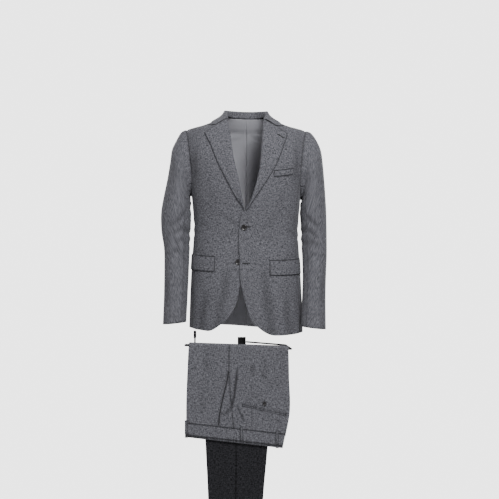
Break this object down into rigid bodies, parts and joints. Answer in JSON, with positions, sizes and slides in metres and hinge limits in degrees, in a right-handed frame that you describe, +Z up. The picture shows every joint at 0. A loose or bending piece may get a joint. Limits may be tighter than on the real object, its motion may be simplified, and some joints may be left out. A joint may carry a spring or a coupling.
{
  "type": "two-piece suit with trouser rail",
  "caption": "Single-breasted wool suit: jacket in its worn hollow form above trousers folded over a bent rail.",
  "frame": {"origin": "middle of the neck opening at the nape seam of the jacket, where the wearer's neck and shoulders carry it", "axes": "+Z up, +X towards the wearer's left, the front faces -Y"},
  "size_m": [0.5835, 0.3035, 1.5258],
  "materials": {
    "suit_wool": "fine grey melange worsted, soft sheen",
    "buttons": "dark horn-like resin",
    "rail_paint": "satin black"
  },
  "bodies": {
    "root": {"back_left": "suit_wool", "back_pocket_button": "buttons", "back_pocket_loop": "suit_wool", "back_pocket_welt_lower": "suit_wool", "back_pocket_welt_upper": "suit_wool", "back_right": "suit_wool", "belt_loop_left_1": "suit_wool", "belt_loop_left_2": "suit_wool", "belt_loop_left_3": "suit_wool", "belt_loop_right_1": "suit_wool", "belt_loop_right_2": "suit_wool", "belt_loop_right_3": "suit_wool", "breast_welt": "suit_wool", "button_lower": "buttons", "button_upper": "buttons", "collar": "suit_wool", "flap_left": "suit_wool", "flap_right": "suit_wool", "front_left": "suit_wool", "front_right": "suit_wool", "lapel_left": "suit_wool", "lapel_right": "suit_wool", "rail_cap": "rail_paint", "rail_rod": "rail_paint", "rail_saddle": "rail_paint", "side_body_left": "suit_wool", "side_body_right": "suit_wool", "sleeve_top_left": "suit_wool", "sleeve_top_right": "suit_wool", "sleeve_under_left": "suit_wool", "sleeve_under_right": "suit_wool", "trousers_back_left": "suit_wool", "trousers_back_right": "suit_wool", "trousers_front_left": "suit_wool", "trousers_front_right": "suit_wool", "waistband_left": "suit_wool", "waistband_right": "suit_wool"}
  },
  "joints": []
}
